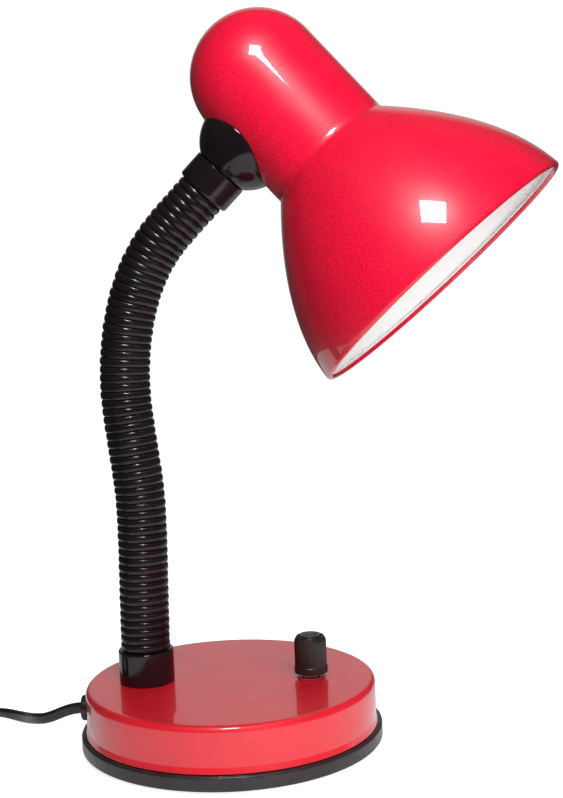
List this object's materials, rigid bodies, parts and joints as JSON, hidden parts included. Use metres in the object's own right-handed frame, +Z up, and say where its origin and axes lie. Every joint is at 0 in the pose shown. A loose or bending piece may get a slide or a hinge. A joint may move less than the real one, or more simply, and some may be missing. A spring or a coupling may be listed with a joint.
{
  "type": "desk lamp",
  "caption": "Desk lamp with a weighted round base, rotary dimmer, ribbed flexible neck, ball joint and bell-shaped steel shade with lamp holder and bulb.",
  "frame": {"origin": "centre of the base's resting face, on the table", "axes": "+Z up; +X from the foot of the neck towards the knob, the way the neck leans; +Y towards the back"},
  "size_m": [0.3939, 0.2131, 0.3596],
  "materials": {
    "red_enamel": "gloss enamel, fine speckle; white inside the shade",
    "black_gloss": "gloss black",
    "ribbed_sleeve": "satin black ribbed sleeve",
    "dark_rim": "matte dark grey",
    "knob_plastic": "matte brown-black",
    "steel": "zinc plated",
    "bright_chrome": "polished",
    "ballast_iron": "as cast",
    "brass": "plain",
    "felt": "soft foam pad",
    "holder_plastic": "moulded black",
    "bulb_glass": "frosted white",
    "circuit_board": "green board with small parts",
    "white_plastic": "moulded white",
    "cord_sheath": "black PVC"
  },
  "bodies": {
    "base": {"anti_slip_pad": "felt", "bottom_cover": "dark_rim", "base_shell": "red_enamel", "ballast_weight": "ballast_iron", "cover_screw_1": "steel", "cover_screw_2": "steel", "cover_screw_3": "steel", "base_collar": "black_gloss", "neck_nipple": "steel", "neck_washer": "steel", "neck_nut": "steel", "cord_grommet": "black_gloss", "cord_clamp": "white_plastic", "dimmer_body": "steel", "dimmer_board": "circuit_board", "dimmer_washer": "bright_chrome", "dimmer_nut": "bright_chrome", "terminal_block": "white_plastic", "inner_lead": "cord_sheath", "flex_conduit": "steel", "neck_link_01": "ribbed_sleeve", "power_cord": "cord_sheath", "cord_tail": "cord_sheath", "cord_coil": "cord_sheath", "cord_tie": "black_gloss", "plug_body": "black_gloss", "plug_pin_1": "bright_chrome", "plug_pin_2": "bright_chrome"},
    "knob": {"control_knob": "knob_plastic", "dimmer_shaft": "steel"},
    "neck_02": {"neck_link_02": "ribbed_sleeve"},
    "neck_03": {"neck_link_03": "ribbed_sleeve"},
    "neck_04": {"neck_link_04": "ribbed_sleeve"},
    "neck_05": {"neck_link_05": "ribbed_sleeve"},
    "neck_06": {"neck_link_06": "ribbed_sleeve"},
    "neck_07": {"neck_link_07": "ribbed_sleeve"},
    "neck_08": {"neck_link_08": "ribbed_sleeve"},
    "neck_09": {"neck_link_09": "ribbed_sleeve"},
    "neck_10": {"neck_link_10": "ribbed_sleeve"},
    "neck_11": {"neck_link_11": "ribbed_sleeve"},
    "neck_12": {"neck_link_12": "ribbed_sleeve"},
    "neck_13": {"neck_link_13": "ribbed_sleeve"},
    "neck_14": {"neck_link_14": "ribbed_sleeve"},
    "neck_top": {"neck_link_15": "ribbed_sleeve", "top_collar": "black_gloss", "pivot_stud": "steel", "stud_nut": "steel"},
    "pivot": {"joint_saddle": "steel"},
    "head": {"swivel_dome": "black_gloss", "shade": "red_enamel", "dome_screw_1": "steel", "dome_screw_2": "steel", "holder_bracket": "steel", "holder_nut": "steel", "lamp_holder": "holder_plastic", "holder_contact": "brass", "holder_socket": "brass", "bulb_cap": "brass", "bulb_glass": "bulb_glass"}
  },
  "joints": [
    {"name": "neck_bend_01", "type": "hinge", "parent": "base", "child": "neck_02", "pos_m": [-0.04165, 0, 0.0644], "axis": [0, 1, 0], "range_deg": [-8, 8], "deforming": ["flex_conduit"]},
    {"name": "neck_sway_02", "type": "hinge", "parent": "neck_02", "child": "neck_03", "pos_m": [-0.0413, 0, 0.08024], "axis": [0.9996, 0, -0.029], "range_deg": [-6, 6], "deforming": ["flex_conduit"]},
    {"name": "neck_bend_03", "type": "hinge", "parent": "neck_03", "child": "neck_04", "pos_m": [-0.04087, 0, 0.09609], "axis": [0, 1, 0], "range_deg": [-8, 8], "deforming": ["flex_conduit"]},
    {"name": "neck_sway_04", "type": "hinge", "parent": "neck_04", "child": "neck_05", "pos_m": [-0.04067, 0, 0.11194], "axis": [1, 0, -0.006], "range_deg": [-6, 6], "deforming": ["flex_conduit"]},
    {"name": "neck_bend_05", "type": "hinge", "parent": "neck_05", "child": "neck_06", "pos_m": [-0.04097, 0, 0.12778], "axis": [0, 1, 0], "range_deg": [-8, 8], "deforming": ["flex_conduit"]},
    {"name": "neck_sway_06", "type": "hinge", "parent": "neck_06", "child": "neck_07", "pos_m": [-0.0424, 0, 0.14356], "axis": [0.9944, 0, 0.106], "range_deg": [-6, 6], "deforming": ["flex_conduit"]},
    {"name": "neck_bend_07", "type": "hinge", "parent": "neck_07", "child": "neck_08", "pos_m": [-0.04406, 0, 0.15933], "axis": [0, 1, 0], "range_deg": [-8, 8], "deforming": ["flex_conduit"]},
    {"name": "neck_sway_08", "type": "hinge", "parent": "neck_08", "child": "neck_09", "pos_m": [-0.04529, 0, 0.17512], "axis": [0.9996, 0, 0.027], "range_deg": [-6, 6], "deforming": ["flex_conduit"]},
    {"name": "neck_bend_09", "type": "hinge", "parent": "neck_09", "child": "neck_10", "pos_m": [-0.045, 0, 0.19096], "axis": [0, 1, 0], "range_deg": [-8, 2], "deforming": ["flex_conduit"]},
    {"name": "neck_sway_10", "type": "hinge", "parent": "neck_10", "child": "neck_11", "pos_m": [-0.04303, 0, 0.20669], "axis": [0.9839, 0, -0.179], "range_deg": [-6, 6], "deforming": ["flex_conduit"]},
    {"name": "neck_bend_11", "type": "hinge", "parent": "neck_11", "child": "neck_12", "pos_m": [-0.03929, 0, 0.22208], "axis": [0, 1, 0], "range_deg": [-8, 2], "deforming": ["flex_conduit"]},
    {"name": "neck_sway_12", "type": "hinge", "parent": "neck_12", "child": "neck_13", "pos_m": [-0.03343, 0, 0.23678], "axis": [0.895, 0, -0.446], "range_deg": [-6, 6], "deforming": ["flex_conduit"]},
    {"name": "neck_bend_13", "type": "hinge", "parent": "neck_13", "child": "neck_14", "pos_m": [-0.02503, 0, 0.25019], "axis": [0, 1, 0], "range_deg": [-8, 2], "deforming": ["flex_conduit"]},
    {"name": "neck_sway_14", "type": "hinge", "parent": "neck_14", "child": "neck_top", "pos_m": [-0.01446, 0, 0.26199], "axis": [0.7229, 0, -0.6909], "range_deg": [-6, 6], "deforming": ["flex_conduit"]},
    {"name": "head_swivel", "type": "hinge", "parent": "neck_top", "child": "pivot", "pos_m": [0.01954, 0, 0.29637], "axis": [0.7021, 0, 0.7121], "range_deg": [-90, 90]},
    {"name": "head_tilt", "type": "hinge", "parent": "pivot", "child": "head", "pos_m": [0.01954, 0, 0.29637], "axis": [0.106, 0.9889, -0.104], "range_deg": [-20, 14]},
    {"name": "knob_turn", "type": "hinge", "parent": "base", "child": "knob", "pos_m": [0.04065, 0, 0.044], "axis": [0, 0, 1], "range_deg": [0, 270]}
  ],
  "couplings": [
    {"joint": "neck_bend_03", "follows": "neck_bend_01", "ratio": 1},
    {"joint": "neck_bend_07", "follows": "neck_bend_05", "ratio": 1},
    {"joint": "neck_bend_11", "follows": "neck_bend_09", "ratio": 1},
    {"joint": "neck_bend_13", "follows": "neck_bend_09", "ratio": 1},
    {"joint": "neck_sway_04", "follows": "neck_sway_02", "ratio": 1},
    {"joint": "neck_sway_08", "follows": "neck_sway_06", "ratio": 1},
    {"joint": "neck_sway_12", "follows": "neck_sway_10", "ratio": 1},
    {"joint": "neck_sway_14", "follows": "neck_sway_10", "ratio": 1}
  ]
}
